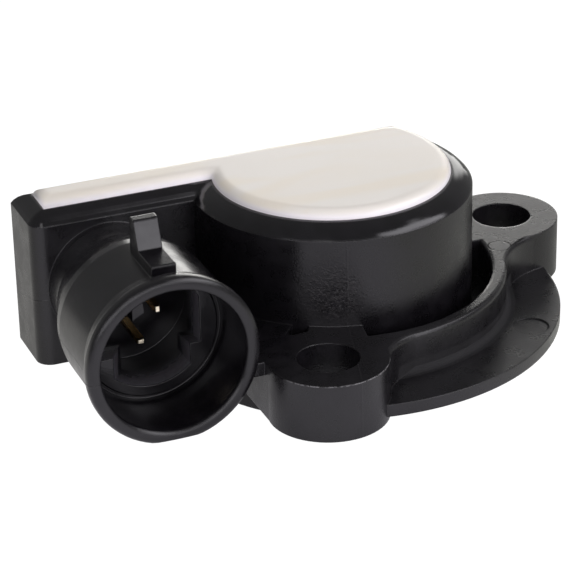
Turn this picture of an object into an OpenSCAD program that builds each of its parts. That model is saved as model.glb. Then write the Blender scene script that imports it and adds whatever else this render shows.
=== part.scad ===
// Throttle position sensor, millimetres, +Z up.
// Origin: on the rotor axis, in the plane of the mounting ears' undersides.
// The connector mouth faces -Y and the connector block reaches towards -X.

/* [View] */
// Piece to draw

/* [Sensor body] */
// Outer radius of the round cup
body_r = 15.35; // [14.9:0.05:16]
// Height of the body's vertical wall above the mounting plane
body_top_z = 16.25; // [15.8:0.05:17]
// Height of the glossy sloping rim above the wall
rim_rise = 1.4; // [1:0.1:1.6]
// Inward run of the sloping rim
rim_run = 1.6; // [1.4:0.05:1.6]
// Flat between the rim and the potting, at the back and the left
rim_shelf = 0.3; // [0.1:0.05:0.4]
// Wall thickness around the rotor chamber
chamber_wall = 2.4; // [2:0.1:2.7]
// Depth of the flat back of the body behind the rotor axis
back_y = 9.4; // [9.2:0.1:10]

/* [Connector block] */
// Left side of the block
block_left_x = -33.4; // [-35:0.05:-33]
// Front face of the block
block_front_y = 1.65; // [1.3:0.05:2]
// Radius of the block's front corner
block_corner_r = 1.65; // [1.65:0.05:2.2]

/* [Connector shroud] */
// Connector axis, sideways
plug_x = -25.25; // [-26:0.05:-25]
// Connector axis, height
plug_z = 8.8; // [8.6:0.05:9]
// Rim of the mouth, front
mouth_y = -19.3; // [-20:0.1:-19]
// Radius of the mouth
mouth_r = 7.83; // [7.7:0.01:7.9]
// Outer radius of the rim lip
lip_r = 9.3; // [9.2:0.05:9.6]
// Outer radius of the shroud behind the lip
shroud_r = 8.65; // [8.5:0.05:8.8]
// Radius where the neck meets the block
neck_r = 6.75; // [6.6:0.05:7.2]
// Back wall of the socket
socket_back_y = -3.5; // [-4:0.1:-3]

/* [Latch] */
// Width of the latch
latch_w = 2.6; // [2.4:0.1:3]
// Height of the latch rail's top above the mounting plane
rail_top_z = 18.65; // [18.4:0.05:18.9]
// Height of the lock tooth above the mounting plane
tooth_top_z = 21.6; // [21:0.1:22]

/* [Keying ring] */
// Front face of the keying ring
ring_front_y = -11.8; // [-12:0.1:-11.6]
// Depth of the keying ring
ring_depth = 3.9; // [3:0.1:4.2]
// Outer radius of the keying ring
ring_r = 7.38; // [7.3:0.01:7.4]
// Opening radius of the keying ring
ring_hole_r = 6.2; // [6:0.05:6.3]
// Half width of the keying ring's opening
ring_flat = 5.4; // [5:0.1:6]
// Half distance between the two lower keys
key_half_gap = 4.2; // [4:0.1:4.5]
// Height of the key tops below the connector axis
key_drop = 2.2; // [2:0.1:2.5]
// Fall of the key tops from front to back
key_fall = 0.6; // [0:0.1:0.8]
// Sideways lean of the left key from front to back
key_lean = 2; // [0:0.1:2.2]

/* [Terminals] */
// Distance of the three blades from the connector axis
blade_circle_r = 2.25; // [2.1:0.05:2.3]
// Blade width
blade_w = 0.8; // [0.7:0.05:0.85]
// Blade thickness
blade_t = 0.6; // [0.5:0.05:0.64]
// Bevel on each side of a blade's tip
blade_bevel = 0.1; // [0.05:0.01:0.15]
// Middle of the blades, sideways from the connector axis
blade_off_x = -0.2; // [-0.3:0.05:0.1]
// Middle of the blades, height from the connector axis
blade_off_z = -0.1; // [-0.2:0.05:0.1]
// Wall of the carrier around the blades
carrier_wall = 1.4; // [1.1:0.1:1.5]
// Blade tips, front
blade_tip_y = -9.1; // [-9.3:0.1:-8.6]

/* [Mounting flange] */
// Distance between the two mounting holes
hole_spacing = 40; // [39:0.1:41]
// Direction from the front hole to the right hole
hole_angle = 37.5; // [37:0.1:38]
// Middle of the two holes, sideways
hole_mid_x = 6.8; // [6.6:0.1:7]
// Middle of the two holes, front to back
hole_mid_y = -8.2; // [-8.4:0.1:-8]
// Mounting hole radius
hole_r = 3.3; // [3:0.05:3.5]
// Ear radius
ear_r = 6.4; // [6.2:0.05:6.6]
// Height of the ears and the curved wall
deck_z = 6.4; // [6:0.1:6.6]
// Flange disc radius
disc_r = 25.15; // [24.8:0.05:25.4]
// Underside of the flange disc above the mounting plane
disc_lift = 0.6; // [0.4:0.1:0.8]
// Flange disc thickness
disc_t = 1.4; // [1.2:0.1:1.6]
// Inner radius of the curved wall
wall_in_r = 17.5; // [17.3:0.1:17.7]
// Outer radius of the curved wall
wall_out_r = 19.2; // [19:0.1:19.4]
// Rounding of the curved wall's top edges
wall_round = 0.45; // [0.2:0.05:0.5]
// Fillet at the foot of the curved wall
foot_fillet = 0.8; // [0.5:0.1:1]
// Fillet where the curved wall runs into the front ear
front_fillet_r = 6.1; // [4:0.1:7]
// Fillet where the curved wall runs into the right ear
right_fillet_r = 9.5; // [6:0.1:10]
// Left side of the flange
flange_left_x = -15.4; // [-15.6:0.1:-15.3]

/* [Pilot boss] */
// Pilot boss radius
pilot_r = 17.1; // [16.9:0.05:17.2]
// Pilot boss length below the mounting plane
pilot_len = 3.5; // [3:0.1:4]

/* [Base cover] */
// Base cover radius
cover_r = 14.4; // [14.2:0.05:14.6]
// Base cover thickness
cover_t = 1.5; // [1.3:0.1:1.6]
// Depth of the cover inside the pilot boss
cover_sink = 0.9; // [0.8:0.1:1]

/* [Rotor] */
// Rotor hub radius in the cover's bore
hub_r = 4.8; // [4.6:0.05:5]
// Running clearance of the hub and the pivot
run_gap = 0.05; // [0.03:0.01:0.08]
// Drum radius inside the return spring
drum_r = 5; // [4.8:0.1:5.1]
// Pivot pin radius
pivot_r = 1.8; // [1.6:0.05:2]
// Wiper arm reach
arm_r = 11.8; // [11.4:0.1:12]
// Half angle of the wiper arm
arm_half = 18; // [15:1:20]
// Direction of the wiper arm at rest
arm_rest = -135; // [-137:1:-133]
// Gap between the wiper arm and its stops, degrees
stop_gap = 1.8; // [1.6:0.1:2.4]
// Drive socket radius
drive_r = 3; // [2.8:0.05:3.2]
// Distance of the drive flat from the axis
drive_flat = 1.8; // [1.7:0.05:1.9]
// Width of the drive clip
clip_w = 2.6; // [2:0.1:3]
// Depth of the drive clip's fold
clip_t = 0.7; // [0.5:0.05:0.8]
// Depth of the drive socket
drive_depth = 8; // [7:0.5:9]
// Length of the drive socket's round lead-in
drive_lead = 3.5; // [3:0.1:4]

/* [Return spring] */
// Mean radius of the spring coil
coil_r = 6.1; // [6:0.05:6.2]
// Spring wire radius
wire_r = 0.35; // [0.3:0.05:0.4]

/* [Element] */
// Clearance of the element plate in the chamber
plate_gap = 0.5; // [0.3:0.1:0.9]
// Margin of the adhesive film inside the plate's edges
bond_margin = 0.8; // [0.5:0.1:1.2]
// Element plate thickness
plate_t = 0.8; // [0.7:0.1:0.9]
// Printed film thickness
film_t = 0.08; // [0.06:0.01:0.1]
// Middle radius of the resistor track
track_r = 10.3; // [10:0.1:10.5]
// Middle radius of the collector track
collector_r = 7.4; // [7.2:0.1:7.6]
// Width of both tracks
track_w = 1.6; // [1.4:0.1:1.8]

/* [Potting] */
// Radius of the potting over the cup
pot_r = 13; // [12.8:0.05:13.2]
// Height of the potting above the sloping rim
pot_rise = 1; // [0.8:0.1:1.2]
// Radius of the potting's rolled edge
pot_edge = 1.1; // [0.9:0.1:1.3]

/* [Hidden] */
$fn = 96;
eps = 0.01;
rim_top_z = body_top_z + rim_rise;
pot_front_y = block_front_y + rim_run;
pot_back_y = back_y - rim_run - rim_shelf;
pot_left_x = block_left_x + rim_run + rim_shelf;
chamber_r = body_r - chamber_wall;
chamber_back_y = back_y - 2;
ceiling_z = 12.3;
floor_top_z = 14.2;
boss_top_z = 15.2;
bush_r = pivot_r + 1;
bush_h = 1.3;
pivot_top_z = ceiling_z + bush_h - 0.1;
cover_bottom_z = -pilot_len + cover_sink;
cover_top_z = cover_bottom_z + cover_t;
washer_t = 0.4;
collar_bottom_z = cover_top_z + 2 * washer_t + 0.05;
collar_r = 7;
collar_t = 1;
arm_bottom_z = 7.2;
sweep = 90;
rib_depth = 2.3;
rib_a = arm_rest - arm_half - stop_gap - 4;
rib_b = arm_rest + sweep + arm_half + stop_gap + 4;
coil_z0 = collar_bottom_z + collar_t + wire_r + 0.3;
coil_z1 = arm_bottom_z - wire_r - 0.4;
post_r = 0.7;
post_reach = 8.3;
post_a = arm_rest + 6;
leg_a = post_a + asin((post_r + wire_r + 0.05) / post_reach);
arm_top_z = 9;
hub_bottom_z = -pilot_len + 0.5;
drive_tip_r = drive_r - 0.4;
clip_z0 = hub_bottom_z + drive_lead + 0.3;
clip_h = drive_depth - drive_lead - 0.3;
plate_r = chamber_r - plate_gap;
plate_bore_r = bush_r + 0.4;
plate_top_z = ceiling_z - 0.2;
plate_bottom_z = plate_top_z - plate_t;
film_z = plate_bottom_z - film_t;
brush_t = 0.25;
brush_gap = 0.1;
disc_top_z = disc_lift + disc_t;
front_ear = [hole_mid_x - hole_spacing / 2 * cos(hole_angle), hole_mid_y - hole_spacing / 2 * sin(hole_angle)];
right_ear = [hole_mid_x + hole_spacing / 2 * cos(hole_angle), hole_mid_y + hole_spacing / 2 * sin(hole_angle)];
groove_y = ring_front_y + 0.4;
ring_back_y = ring_front_y + ring_depth;
blade_x = plug_x + blade_off_x;
blade_z = plug_z + blade_off_z;
pin_low = [blade_x, blade_z - blade_circle_r];
pin_right = [blade_x + blade_circle_r * cos(30), blade_z + blade_circle_r * sin(30)];
pin_left = [blade_x - blade_circle_r * cos(30), blade_z + blade_circle_r * sin(30)];
run_z = 15.4;
tail_x = [-7.2, -5, -2.8];
run_y = [6.4, 5.2, 4];
trench_z = 3.2;
carrier_y0 = block_front_y + 0.4;
carrier_y1 = pot_front_y;
carrier_half = blade_circle_r * cos(30) + carrier_wall;
carrier_down = blade_circle_r + carrier_wall;
carrier_up = blade_circle_r * sin(30) + carrier_wall;
brush_r = (track_r + collector_r) / 2;

// Meeting point of two circles, on the left-hand side of the line from a to b
function meet(a, ra, b, rb, side = 1) =
  let (d = norm(b - a), u = (b - a) / d, x = (d * d + ra * ra - rb * rb) / (2 * d), h = sqrt(ra * ra - x * x))
  a + u * x + [-u[1], u[0]] * h * side;

// Round plate cut straight behind the axis
module d_plate(r, back, z0, z1) {
  intersection() {
    translate([0, 0, z0]) cylinder(h = z1 - z0, r = r, $fn = 144);
    translate([-2 * r, -2 * r, z0 - 1]) cube([4 * r, 2 * r + back, z1 - z0 + 2]);
  }
}

// Angular sector of a ring
module arc_band(r0, r1, a0, a1, z0, z1) {
  translate([0, 0, z0]) rotate([0, 0, a0]) rotate_extrude(angle = a1 - a0, $fn = 144)
    translate([r0, 0]) square([r1 - r0, z1 - z0]);
}

// Solid of revolution about the connector axis, profile as [radius, y]
module plug_turn(profile, fn = 96) {
  translate([plug_x, 0, plug_z]) rotate([90, 0, 0]) mirror([0, 0, 1])
    rotate_extrude($fn = fn) polygon(profile);
}

module plug_cylinder(r, y0, y1) {
  translate([plug_x, y0, plug_z]) rotate([-90, 0, 0]) cylinder(h = y1 - y0, r = r);
}

// Rounded edge profile, from the side up to the top, as [inset, fall below the top]
function edge_round(r) = [[0, 1.3 * r], [0.1 * r, 0.8 * r], [0.4 * r, 0.25 * r], [r, 0]];

// Concave fillet of radius rf between the ear at e and the curved wall's outside, with the wall's rounded top edge.
// Its circle is a hair wide, so that it crosses both.
module ear_fillet(e, rf, side, z0, z1) {
  c = meet([0, 0], wall_out_r + rf, e, ear_r + rf, side);
  t0 = c * (wall_out_r - 1) / (wall_out_r + rf);
  t1 = c + (e - c) * (rf + 1) / (ear_r + rf);
  cross_p = meet([0, 0], wall_out_r, e, ear_r, side);
  inner = cross_p * (wall_out_r - 0.9) / wall_out_r + (e - cross_p) / ear_r * 0.9;
  difference() {
    translate([0, 0, z0]) linear_extrude(z1 - z0) polygon([t0, c, t1, inner]);
    translate(c) rotate_extrude($fn = 96)
      polygon(concat([[0, z0 - 1], [rf + 0.03, z0 - 1]], [for (p = edge_round(wall_round)) [rf + 0.03 + p[0], z1 - p[1]]],
        [[rf + 0.03 + wall_round, z1 + 1], [0, z1 + 1]]));
  }
}

// Crowned rim, from the wall's top up and inwards, as [inset, height above the wall]
function rim_line(run) = [for (p = [[0, 0], [0.18, 0.33], [0.42, 0.62], [0.7, 0.84], [1, 1]]) [p[0] * run, p[1] * rim_rise]];

// Body and block outside, wall and rim
module body_shell() {
  intersection() {
    rotate_extrude($fn = 144)
      polygon(concat([[0, 0], [body_r, 0]], [for (p = rim_line(body_r - pot_r)) [body_r - p[0], body_top_z + p[1]]], [[0, rim_top_z]]));
    translate([-30, 0, 0]) rotate([90, 0, 90]) linear_extrude(60)
      polygon(concat([[-30, -1], [back_y, -1]], [for (p = rim_line(rim_run)) [back_y - p[0], body_top_z + p[1]]], [[-30, rim_top_z]]));
  }
  block();
}

// Cross-section of the connector block, seen from its end
module block_section() {
  line = rim_line(rim_run);
  polygon(concat([[block_front_y, 0], [back_y, 0]], [for (p = line) [back_y - p[0], body_top_z + p[1]]],
    [for (i = [4:-1:0]) [block_front_y + line[i][0], body_top_z + line[i][1]]]));
}

// Connector block: two crossing sections, and a round front corner
module block() {
  c = block_corner_r;
  line = rim_line(rim_run);
  translate([block_left_x + c, 0, 0]) rotate([90, 0, 90]) linear_extrude(-block_left_x - c) block_section();
  intersection() {
    translate([0, back_y + 1, 0]) rotate([90, 0, 0]) linear_extrude(back_y + 1 - block_front_y - c)
      polygon(concat([[block_left_x + c + 1, rim_top_z], [block_left_x + c + 1, 0], [block_left_x, 0]],
        [for (p = line) [block_left_x + p[0], body_top_z + p[1]]]));
    translate([block_left_x - 1, 0, 0]) rotate([90, 0, 90]) linear_extrude(c + 3) block_section();
  }
  translate([block_left_x + c, block_front_y + c, 0]) rotate_extrude($fn = 96)
    polygon(concat([[0, 0], [c, 0]], [for (p = line) [c - p[0], body_top_z + p[1]]], [[0, rim_top_z]]));
}

// Shroud outside with its rounded lip and flared neck
module shroud_outside() {
  intersection() {
    plug_turn([[0, mouth_y], [lip_r - 0.55, mouth_y], [lip_r - 0.25, mouth_y + 0.1], [lip_r - 0.07, mouth_y + 0.3],
      [lip_r, mouth_y + 0.6], [lip_r, mouth_y + 1.1], [lip_r - 0.1, mouth_y + 1.6], [shroud_r + 0.15, mouth_y + 2.2],
      [shroud_r, mouth_y + 3.2], [shroud_r, -8], [shroud_r - 0.15, -6.8], [shroud_r - 0.5, -5.6],
      [7.6, -4], [7.2, -2.6], [neck_r + 0.2, -0.8], [neck_r, 0.8], [neck_r, block_front_y + 0.5],
      [0, block_front_y + 0.5]]);
    translate([-60, -40, 0]) cube([60, 60, 40]);
  }
}

// Bore of the shroud: mouth, clearance groove, ring seat and the space behind it
module shroud_bore() {
  plug_turn([[0, mouth_y - 1], [mouth_r + 0.35, mouth_y - 1], [mouth_r + 0.35, mouth_y], [mouth_r + 0.12, mouth_y + 0.12],
    [mouth_r, mouth_y + 0.4], [mouth_r - 0.05, groove_y], [ring_r, groove_y], [ring_r, ring_back_y],
    [ring_r - 0.5, ring_back_y], [ring_r - 0.5, socket_back_y], [0, socket_back_y]]);
}

// Latch rail and lock tooth
module latch() {
  translate([plug_x - latch_w / 2, 0, 0]) rotate([90, 0, 90]) linear_extrude(latch_w)
    polygon([[-10.3, plug_z + 7], [-10.3, rail_top_z], [-10.5, tooth_top_z - 0.1], [-10.7, tooth_top_z],
      [-11.6, tooth_top_z], [-11.8, tooth_top_z - 0.15], [-12.9, rail_top_z], [-16.75, rail_top_z],
      [-16.9, rail_top_z - 0.15], [-16.9, plug_z + 8.2], [-16.9, plug_z + 7]]);
}

// Disc, plinth, curved wall and webs, before they are cut straight at the back and the left
module flange_round() {
  round = edge_round(wall_round);
  difference() {
    translate([0, 0, disc_lift]) cylinder(h = disc_t, r = disc_r, $fn = 180);
    translate([17.1, -14.7, disc_top_z - 0.1]) cylinder(h = 1, r = 1.9, $fn = 48);
  }
  difference() {
    union() {
      rotate_extrude($fn = 144) polygon(concat([[0, 0], [wall_out_r, 0]],
        [for (p = round) [wall_out_r - p[0], deck_z - p[1]]], [[0, deck_z]]));
      wall_foot();
      translate([-30, front_ear[1], 0]) cube([30 + front_ear[0] + 2, -front_ear[1] - 6, deck_z]);
      translate([12, right_ear[1] - 3, 0]) cube([right_ear[0] - 12, 20, deck_z]);
    }
    // Moat between the cup and the curved wall
    rotate([0, 0, -101]) rotate_extrude(angle = 98, $fn = 144)
      polygon(concat([[body_r - 1, disc_top_z], [wall_in_r, disc_top_z]],
        [for (p = round) [wall_in_r + p[0], deck_z - p[1]]], [[wall_in_r + wall_round, deck_z + 5], [body_r - 1, deck_z + 5]]));
    translate([0, 0, deck_z - 1.2]) arc_band(body_r - 1, wall_in_r, -129, -122, 0, 10);
    translate([19.05, -3.25, deck_z - 0.1]) cylinder(h = 1, r = 1.1, $fn = 48);
  }
}

// Fillet where the curved wall's outside meets the disc. Its arc is set in a hair, so that it crosses both.
module wall_foot() {
  f = foot_fillet;
  hair = 0.03;
  rotate([0, 0, -118]) rotate_extrude(angle = 118, $fn = 144)
    polygon(concat([[wall_out_r - 0.5, disc_top_z - 0.3], [wall_out_r + f - hair, disc_top_z - 0.3]],
      [for (a = [270:-18:180]) [wall_out_r + f * (1 + cos(a)) - hair, disc_top_z + f * (1 + sin(a)) - hair]],
      [[wall_out_r - 0.5, disc_top_z + f - hair]]));
}

// Flange with its ears and the deck between the shroud and the front ear
module flange() {
  intersection() {
    flange_round();
    translate([flange_left_x, -40, -1]) cube([80, 40 + back_y, 20]);
  }
  for (e = [front_ear, right_ear])
    translate([e[0], e[1], 0]) cylinder(h = deck_z, r = ear_r, $fn = 96);
  ear_fillet(front_ear, front_fillet_r, 1, disc_lift, deck_z);
  ear_fillet(right_ear, right_fillet_r, -1, disc_lift, deck_z);
  translate([-20.5, -18.6, deck_z - 1.5]) cube([8, 18.6 + block_front_y + 1, 1.5]);
}

// Pilot boss below the mounting plane
module pilot() {
  intersection() {
    translate([0, 0, -pilot_len]) cylinder(h = pilot_len + 1, r = pilot_r, $fn = 144);
    translate([flange_left_x + 0.3, -40, -10]) cube([80, 40 + back_y, 20]);
  }
}

// Outline of a blade of half width w, from its bevelled tip back to y1
module blade_outline(w, y1) {
  b = blade_bevel;
  polygon([[-w + b, blade_tip_y], [w - b, blade_tip_y], [w, blade_tip_y + 4 * b], [w, y1], [-w, y1], [-w, blade_tip_y + 4 * b]]);
}

// One terminal: blade, riser, run and tail as one bent strip
module strip(pin, y_run, x_tail, wide, g) {
  w = blade_w / 2 + g;
  t = blade_t / 2 + g;
  // Blade with its bevelled tip, turned to its place
  translate([pin[0], 0, pin[1]]) rotate([0, wide, 0]) intersection() {
    translate([0, 0, -t]) linear_extrude(2 * t) blade_outline(w, y_run);
    translate([w, 0, 0]) rotate([0, -90, 0]) linear_extrude(2 * w) blade_outline(t, y_run);
  }
  // Riser in the block
  translate([pin[0] - w, y_run - t, pin[1] - t]) cube([2 * w, 2 * t, run_z + blade_t - pin[1] + t + g]);
  // Run towards the body
  translate([pin[0] - w, y_run - t, run_z - g]) cube([x_tail - pin[0] + w + t, 2 * t, blade_t + 2 * g]);
  // Tail onto the element
  translate([x_tail - t, y_run - t, plate_top_z + film_t]) cube([2 * t, 2 * t, run_z + blade_t + g - plate_top_z - film_t]);
}

module all_strips(g) {
  strip(pin_low, run_y[0], tail_x[0], 0, g);
  strip(pin_right, run_y[2], tail_x[2], 90, g);
  strip(pin_left, run_y[1], tail_x[1], 90, g);
}

// Chamber for the rotor, from the cover's seat to the ceiling
module chamber() {
  difference() {
    d_plate(chamber_r, chamber_back_y, -pilot_len - 1, ceiling_z);
    stop_ribs(0);
  }
  d_plate(cover_r + 0.03, chamber_back_y + 0.9, -pilot_len - 1, cover_top_z);
}

// Ribs that stop the wiper arm and carry the spring's fixed leg
module stop_ribs(g) {
  r = chamber_r - rib_depth - g;
  difference() {
    arc_band(r, chamber_r + 1, rib_a - 4, rib_a + 4, cover_top_z, ceiling_z);
    // Slot of the spring's fixed leg, open towards the cover
    if (g == 0) rotate([0, 0, rib_a])
      translate([0, -wire_r - 0.05, cover_top_z - 1]) cube([chamber_r - 0.3, 2 * wire_r + 0.1, coil_z0 + wire_r + 0.05 - cover_top_z + 1]);
  }
  arc_band(r, chamber_r + 1, rib_b - 4, rib_b + 4, cover_top_z, ceiling_z);
}

module housing() {
  color([0.13, 0.13, 0.14]) difference() {
    union() {
      body_shell();
      shroud_outside();
      latch();
      flange();
      pilot();
    }
    difference() {
      shroud_bore();
      coding_rib();
    }
    chamber();
    // Recess for the potting, around the blind boss over the pivot
    difference() {
      d_plate(pot_r, pot_back_y, floor_top_z, rim_top_z + 1);
      cylinder(h = boss_top_z, r = bush_r + 1.2);
    }
    translate([pot_left_x, pot_front_y, trench_z]) cube([-pot_left_x - 13.4, pot_back_y - pot_front_y, rim_top_z]);
    translate([-16, pot_front_y, floor_top_z]) cube([10, pot_back_y - pot_front_y, rim_top_z]);
    // Mounting holes
    for (e = [front_ear, right_ear])
      translate([e[0], e[1], -1]) cylinder(h = deck_z + 2, r = hole_r, $fn = 96);
    // Seat of the pivot bush
    translate([0, 0, ceiling_z - 1]) cylinder(h = 1 + bush_h, r = bush_r);
    all_strips(0.02);
    carrier_block(0.03);
  }
}

// Solid of the potting with its rolled edge
module potting_solid() {
  e = pot_edge;
  r = pot_r;
  h = pot_rise;
  top = rim_top_z;
  roll = [[0, 0], [0.06, 0.28], [0.2, 0.56], [0.45, 0.78], [0.72, 0.92], [1, 1]];
  intersection() {
    rotate_extrude($fn = 144)
      polygon(concat([[0, floor_top_z], [r, floor_top_z]], [for (p = roll) [r - e * p[0], top + h * p[1]]], [[0, top + h]]));
    translate([-30, 0, 0]) rotate([90, 0, 90]) linear_extrude(60)
      polygon(concat([[-30, 0], [pot_back_y, 0]], [for (p = roll) [pot_back_y - e * p[0], top + h * p[1]]], [[-30, top + h]]));
  }
  intersection() {
    union() {
      translate([pot_left_x, 0, 0]) rotate([90, 0, 90]) linear_extrude(-pot_left_x - 13.4) bar_section(trench_z);
      translate([-14, 0, 0]) rotate([90, 0, 90]) linear_extrude(8) bar_section(floor_top_z);
    }
    translate([0, 20, 0]) rotate([90, 0, 0]) linear_extrude(40)
      polygon(concat([[0, 0], [pot_left_x, 0]], [for (p = roll) [pot_left_x + e * p[0], top + h * p[1]]], [[0, top + h]]));
  }
}

// Cross-section of the potting bar over the block
module bar_section(z0) {
  e = pot_edge;
  h = pot_rise;
  top = rim_top_z;
  roll = [[0, 0], [0.06, 0.28], [0.2, 0.56], [0.45, 0.78], [0.72, 0.92], [1, 1]];
  polygon(concat([[pot_front_y, z0], [pot_back_y, z0]],
    [for (p = roll) [pot_back_y - e * p[0], top + h * p[1]]],
    [for (i = [5:-1:0]) [pot_front_y + e * roll[i][0], top + h * roll[i][1]]]));
}

module potting() {
  color([0.9, 0.87, 0.8]) difference() {
    potting_solid();
    all_strips(0);
    translate([0, 0, ceiling_z]) cylinder(h = boss_top_z - ceiling_z, r = bush_r + 1.2);
  }
}

module ring_opening() {
  intersection() {
    plug_cylinder(ring_hole_r, ring_front_y - 1, ring_back_y + 1);
    translate([plug_x - ring_flat, ring_front_y - 1, plug_z - 10]) cube([2 * ring_flat, ring_depth + 2, 20]);
  }
}

// The two lower keys, blocks that stand on the ring's foot and fall towards the back
module ring_keys() {
  intersection() {
    translate([plug_x - 20, 0, plug_z]) rotate([90, 0, 90]) linear_extrude(40)
      polygon([[ring_front_y, -10], [ring_back_y, -10], [ring_back_y, -key_drop - key_fall], [ring_front_y, -key_drop]]);
    translate([plug_x, 0, plug_z - 12]) linear_extrude(24) {
      polygon([[key_half_gap, ring_front_y - 1], [ring_r, ring_front_y - 1], [ring_r, ring_back_y + 1], [key_half_gap, ring_back_y + 1]]);
      polygon([[-key_half_gap, ring_front_y], [-key_half_gap + key_lean, ring_back_y], [-ring_r, ring_back_y], [-ring_r, ring_front_y]]);
    }
  }
}

// Coding rib between the upper blades, on the socket's back wall
module coding_rib() {
  translate([plug_x, socket_back_y + 0.5, plug_z]) rotate([90, 0, 0]) linear_extrude(socket_back_y + 0.5 - blade_tip_y + 0.1)
    polygon([[-1.1, 0.2], [0.3, 0.95], [0.15, 2.3], [-1.1, 1.7]]);
}

module keying_ring() {
  color([0.11, 0.11, 0.12]) difference() {
    plug_turn([[0, ring_front_y], [ring_r - 0.15, ring_front_y], [ring_r, ring_front_y + 0.15], [ring_r, ring_back_y],
      [0, ring_back_y]]);
    difference() {
      ring_opening();
      ring_keys();
    }
  }
}

module terminal_signal() { color([0.8, 0.65, 0.3]) strip(pin_low, run_y[0], tail_x[0], 0, 0); }
module terminal_supply() { color([0.8, 0.65, 0.3]) strip(pin_right, run_y[2], tail_x[2], 90, 0); }
module terminal_ground() { color([0.8, 0.65, 0.3]) strip(pin_left, run_y[1], tail_x[1], 90, 0); }

module carrier_block(g) {
  translate([blade_x - carrier_half - g, carrier_y0 - g, blade_z - carrier_down - g])
    cube([2 * (carrier_half + g), carrier_y1 - carrier_y0 + g + eps, carrier_down + carrier_up + 2 * g]);
}

module terminal_carrier() {
  color([0.25, 0.27, 0.3]) difference() {
    translate([blade_x - carrier_half, carrier_y0, blade_z - carrier_down])
      cube([2 * carrier_half, carrier_y1 - carrier_y0, carrier_down + carrier_up]);
    all_strips(0);
  }
}

module element_plate() {
  color([0.85, 0.85, 0.82]) difference() {
    d_plate(plate_r, chamber_back_y - plate_gap, plate_bottom_z, plate_top_z);
    translate([0, 0, plate_bottom_z - 1]) cylinder(h = plate_t + 2, r = plate_bore_r);
    stop_ribs(0.2);
  }
}

module element_bond() {
  color([0.7, 0.6, 0.5]) difference() {
    arc_band(plate_bore_r + bond_margin, plate_r - bond_margin, -170, -10, plate_top_z, ceiling_z);
    stop_ribs(0.5);
  }
}

module resistor_track() {
  color([0.1, 0.1, 0.1]) arc_band(track_r - track_w / 2, track_r + track_w / 2, -152, -28, film_z, plate_bottom_z);
}

module collector_track() {
  color([0.75, 0.75, 0.72]) arc_band(collector_r - track_w / 2, collector_r + track_w / 2, -152, -28, film_z, plate_bottom_z);
}

module contact_pads() {
  color([0.8, 0.8, 0.8]) for (i = [0:2])
    translate([tail_x[i] - 0.8, run_y[i] - 0.55, plate_top_z]) cube([1.6, 1.1, film_t]);
}

module pivot_bush() {
  color([0.6, 0.45, 0.25]) difference() {
    translate([0, 0, ceiling_z]) cylinder(h = bush_h, r = bush_r);
    translate([0, 0, ceiling_z - 1]) cylinder(h = bush_h + 2, r = pivot_r + run_gap);
  }
}

module rotor() {
  color([0.85, 0.83, 0.76]) difference() {
    union() {
      translate([0, 0, hub_bottom_z]) cylinder(h = arm_bottom_z - hub_bottom_z, r = hub_r);
      translate([0, 0, collar_bottom_z]) cylinder(h = collar_t, r = collar_r);
      translate([0, 0, collar_bottom_z]) cylinder(h = arm_bottom_z - collar_bottom_z, r = drum_r);
      translate([0, 0, arm_bottom_z]) cylinder(h = arm_top_z - arm_bottom_z, r = collar_r);
      arc_band(2, arm_r, arm_rest - arm_half, arm_rest + arm_half, arm_bottom_z, arm_top_z);
      translate([0, 0, arm_top_z - 1]) cylinder(h = pivot_top_z - arm_top_z + 1, r = pivot_r);
      translate([0, 0, arm_top_z - 1]) cylinder(h = 2, r = pivot_r + 1.2);
      // Stakes for the wiper
      rotate([0, 0, arm_rest]) for (s = [-1, 1]) translate([brush_r, 1.7 * s, arm_top_z - 1]) cylinder(h = 1.55, r = 0.5, $fn = 32);
      // Post for the spring's moving leg
      rotate([0, 0, post_a]) translate([post_reach, 0, coil_z1 - 1.2]) cylinder(h = arm_bottom_z + 1 - coil_z1 + 1.2, r = post_r, $fn = 32);
    }
    // Drive socket: a round lead-in, then a narrower bore with one flat
    translate([0, 0, hub_bottom_z - 1]) cylinder(h = drive_lead + 1, r = drive_r);
    difference() {
      translate([0, 0, hub_bottom_z + 1]) cylinder(h = drive_depth - 1, r = drive_tip_r);
      translate([drive_flat, -5, hub_bottom_z]) cube([5, 10, drive_depth + 1]);
    }
    // Seat of the drive clip, behind the flat
    translate([drive_flat - 0.1, -clip_w / 2 - 0.03, clip_z0 - 0.05]) cube([clip_t + 0.13, clip_w + 0.06, clip_h + 0.05]);
  }
}

module wiper_brush() {
  color([0.82, 0.7, 0.45]) rotate([0, 0, arm_rest]) {
    difference() {
      union() {
        translate([collector_r - 1.1, -2.6, arm_top_z]) cube([track_r - collector_r + 2, 5.2, brush_t]);
        // Fingers, each a sloping strip ending just under its track
        for (r = [track_r, collector_r]) for (d = [-0.45, 0.1]) finger(r + d);
      }
      for (s = [-1, 1]) translate([brush_r, 1.7 * s, arm_top_z - 1]) cylinder(h = 3, r = 0.52, $fn = 32);
    }
  }
}

module finger(r) {
  rise = film_z - brush_gap - arm_top_z;
  translate([r, 0, 0]) rotate([90, 0, 90]) linear_extrude(0.35)
    polygon([[-2.6, arm_top_z], [-2.6, arm_top_z + brush_t], [2.2, arm_top_z + rise - 0.1], [2.6, arm_top_z + rise],
      [2.9, arm_top_z + rise], [3.1, arm_top_z + rise - 0.2], [2.3, arm_top_z + rise - 0.4], [-2.2, arm_top_z]]);
}

// Folded leaf that takes up the shaft's play
module drive_clip() {
  color([0.7, 0.72, 0.75]) difference() {
    translate([drive_flat - 0.08, -clip_w / 2, clip_z0]) cube([clip_t + 0.1, clip_w, clip_h - 0.05]);
    translate([drive_flat + 0.12, -clip_w, clip_z0 + 0.3]) cube([clip_t - 0.3, 2 * clip_w, clip_h - 0.65]);
  }
}

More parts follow.
